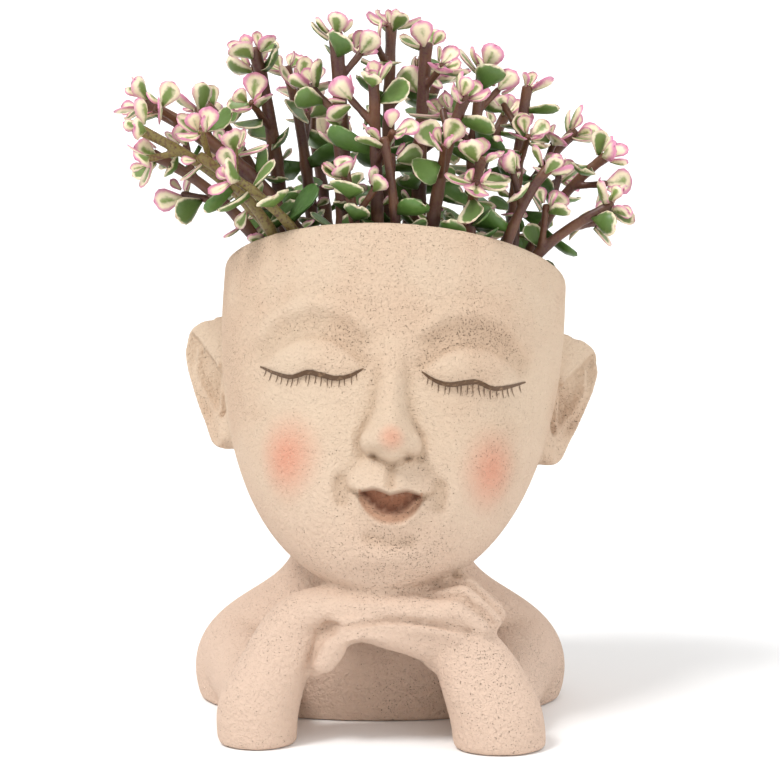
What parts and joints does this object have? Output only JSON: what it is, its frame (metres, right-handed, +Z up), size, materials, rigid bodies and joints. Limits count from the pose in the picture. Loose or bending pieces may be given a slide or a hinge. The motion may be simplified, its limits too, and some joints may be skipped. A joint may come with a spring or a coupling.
{
  "type": "head planter",
  "caption": "Planter cast as a smiling head with closed eyes that rests its chin on folded hands, planted with a leafy succulent, with a plugged drain hole.",
  "frame": {"origin": "on the ground plane, on the axis of the drain hole", "axes": "+Z up, -Y the way the face looks, +X to the viewer's right when facing it"},
  "size_m": [0.2045, 0.1801, 0.2791],
  "materials": {
    "cast_body": "matte",
    "plug_rubber": "matte",
    "screen_plastic": "matte",
    "gravel": "matte",
    "soil": "matte",
    "plant_stem": "satin",
    "plant_leaf": "satin"
  },
  "bodies": {
    "planter": {"drain_screen": "screen_plastic", "drainage_gravel": "gravel", "leaves_01": "plant_leaf", "leaves_02": "plant_leaf", "leaves_03": "plant_leaf", "leaves_04": "plant_leaf", "leaves_05": "plant_leaf", "leaves_06": "plant_leaf", "leaves_07": "plant_leaf", "leaves_08": "plant_leaf", "leaves_09": "plant_leaf", "leaves_10": "plant_leaf", "leaves_11": "plant_leaf", "leaves_12": "plant_leaf", "leaves_13": "plant_leaf", "leaves_14": "plant_leaf", "leaves_15": "plant_leaf", "leaves_16": "plant_leaf", "leaves_17": "plant_leaf", "leaves_18": "plant_leaf", "leaves_19": "plant_leaf", "leaves_20": "plant_leaf", "leaves_21": "plant_leaf", "leaves_22": "plant_leaf", "leaves_23": "plant_leaf", "leaves_24": "plant_leaf", "leaves_25": "plant_leaf", "planter_body": "cast_body", "potting_soil": "soil", "stem_01": "plant_stem", "stem_02": "plant_stem", "stem_03": "plant_stem", "stem_04": "plant_stem", "stem_05": "plant_stem", "stem_06": "plant_stem", "stem_07": "plant_stem", "stem_08": "plant_stem", "stem_09": "plant_stem", "stem_10": "plant_stem", "stem_11": "plant_stem", "stem_12": "plant_stem", "stem_13": "plant_stem", "stem_14": "plant_stem", "stem_15": "plant_stem", "stem_16": "plant_stem", "stem_17": "plant_stem", "stem_18": "plant_stem", "stem_19": "plant_stem", "stem_20": "plant_stem", "stem_21": "plant_stem", "stem_22": "plant_stem", "stem_23": "plant_stem", "stem_24": "plant_stem", "stem_25": "plant_stem"},
    "plug": {"drain_plug": "plug_rubber"}
  },
  "joints": [
    {"name": "plug_pull", "type": "slide", "parent": "planter", "child": "plug", "axis": [0, 0, -1], "range_m": [0, 0.012]}
  ]
}
